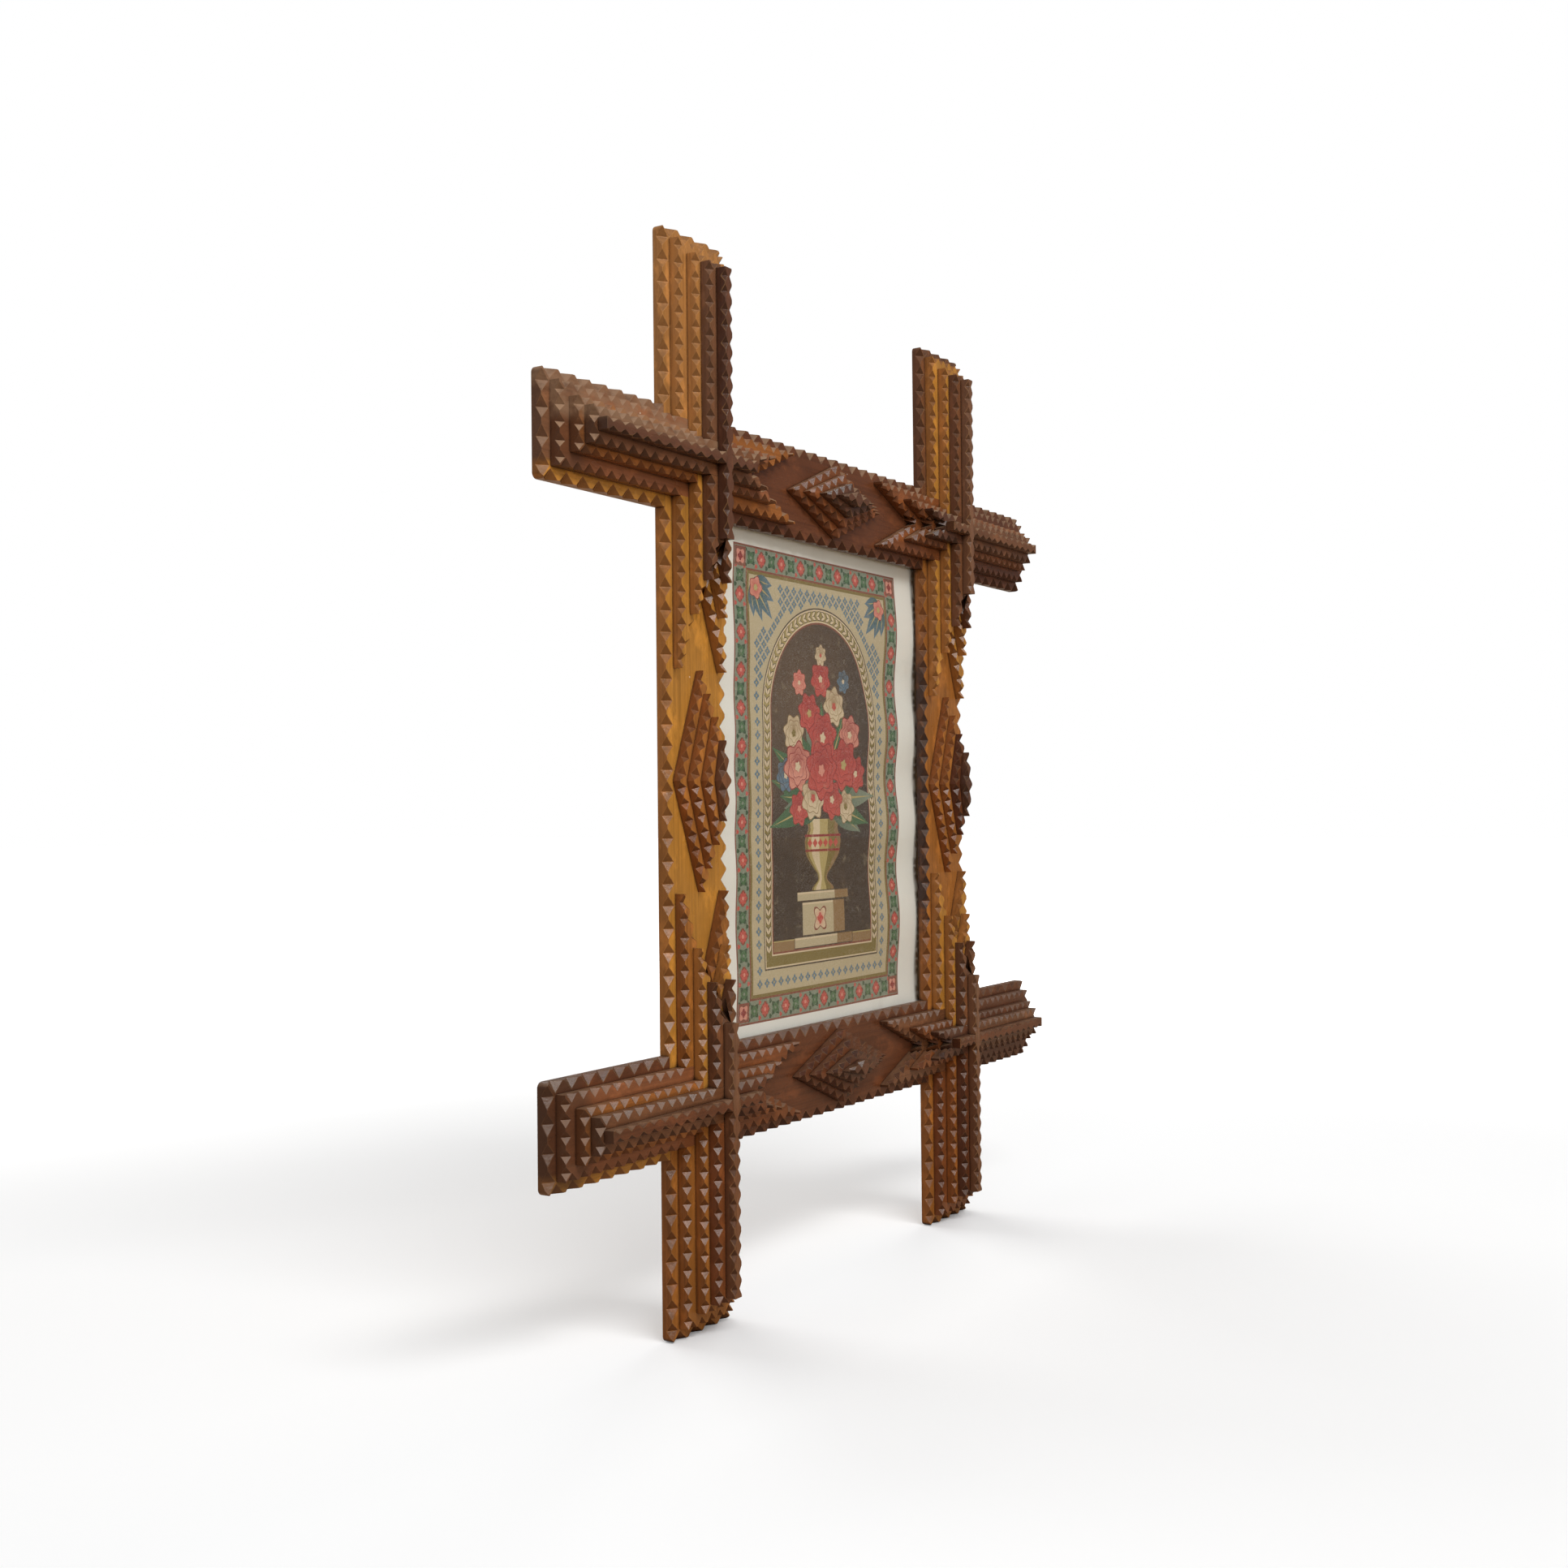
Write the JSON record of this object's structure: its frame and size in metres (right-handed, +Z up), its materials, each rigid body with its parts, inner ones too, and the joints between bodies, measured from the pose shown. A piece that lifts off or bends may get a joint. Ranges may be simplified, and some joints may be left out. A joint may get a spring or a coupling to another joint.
{
  "type": "picture frame",
  "caption": "Crossed-corner wall picture frame of layered, chip-carved wood strips that step up to ridges, with stepped lozenges, a glazed print and a hanging ring.",
  "frame": {"origin": "on the wall plane, on the axis of the nail that carries the hanging ring", "axes": "+X to the viewer's right along the rails, +Y into the wall, +Z up along the stiles"},
  "size_m": [0.6, 0.0454, 0.652],
  "materials": {
    "ochre_wood": "varnished, golden ochre",
    "red_wood": "varnished, reddish brown",
    "dark_wood": "varnished, dark brown",
    "plain_wood": "bare, aged",
    "window_glass": "clear",
    "printed_paper": "printed paper",
    "brass": "tarnished",
    "iron": "dark, slightly rusted"
  },
  "bodies": {
    "frame": {"left_stile": "ochre_wood", "right_stile": "ochre_wood", "top_rail": "red_wood", "bottom_rail": "red_wood", "top_left_tier1_long_strip": "red_wood", "top_left_tier2_long_strip": "ochre_wood", "top_left_tier3_long_strip": "dark_wood", "top_left_tier4_long_strip": "dark_wood", "top_left_tier1_short_strips": "ochre_wood", "top_left_tier2_short_strips": "red_wood", "top_left_tier3_short_strips": "dark_wood", "top_left_tier4_short_strips": "dark_wood", "top_right_tier1_long_strip": "red_wood", "top_right_tier2_long_strip": "ochre_wood", "top_right_tier3_long_strip": "dark_wood", "top_right_tier4_long_strip": "dark_wood", "top_right_tier1_short_strips": "ochre_wood", "top_right_tier2_short_strips": "red_wood", "top_right_tier3_short_strips": "dark_wood", "top_right_tier4_short_strips": "dark_wood", "bottom_left_tier1_long_strip": "red_wood", "bottom_left_tier2_long_strip": "ochre_wood", "bottom_left_tier3_long_strip": "dark_wood", "bottom_left_tier4_long_strip": "dark_wood", "bottom_left_tier1_short_strips": "ochre_wood", "bottom_left_tier2_short_strips": "red_wood", "bottom_left_tier3_short_strips": "dark_wood", "bottom_left_tier4_short_strips": "dark_wood", "bottom_right_tier1_long_strip": "red_wood", "bottom_right_tier2_long_strip": "ochre_wood", "bottom_right_tier3_long_strip": "dark_wood", "bottom_right_tier4_long_strip": "dark_wood", "bottom_right_tier1_short_strips": "ochre_wood", "bottom_right_tier2_short_strips": "red_wood", "bottom_right_tier3_short_strips": "dark_wood", "bottom_right_tier4_short_strips": "dark_wood", "left_stile_lozenge_tier1": "ochre_wood", "left_stile_lozenge_tier2": "ochre_wood", "left_stile_lozenge_tier3": "dark_wood", "left_stile_lozenge_tier4": "dark_wood", "right_stile_lozenge_tier1": "ochre_wood", "right_stile_lozenge_tier2": "ochre_wood", "right_stile_lozenge_tier3": "dark_wood", "right_stile_lozenge_tier4": "dark_wood", "top_rail_lozenge_tier1": "red_wood", "top_rail_lozenge_tier2": "red_wood", "top_rail_lozenge_tier3": "dark_wood", "top_rail_lozenge_tier4": "dark_wood", "bottom_rail_lozenge_tier1": "red_wood", "bottom_rail_lozenge_tier2": "red_wood", "bottom_rail_lozenge_tier3": "dark_wood", "bottom_rail_lozenge_tier4": "dark_wood", "back_cleats": "plain_wood", "glass_pane": "window_glass", "printed_sheet": "printed_paper", "backboard": "plain_wood", "backboard_brads": "iron", "hanger_plate": "brass", "hanger_screws": "iron"},
    "hanging_ring": {"hanger_ring": "brass"}
  },
  "joints": [
    {"name": "ring_swing", "type": "hinge", "parent": "frame", "child": "hanging_ring", "pos_m": [0, -0.00957, -0.0084], "axis": [1, 0, 0], "range_deg": [0, 180]}
  ]
}
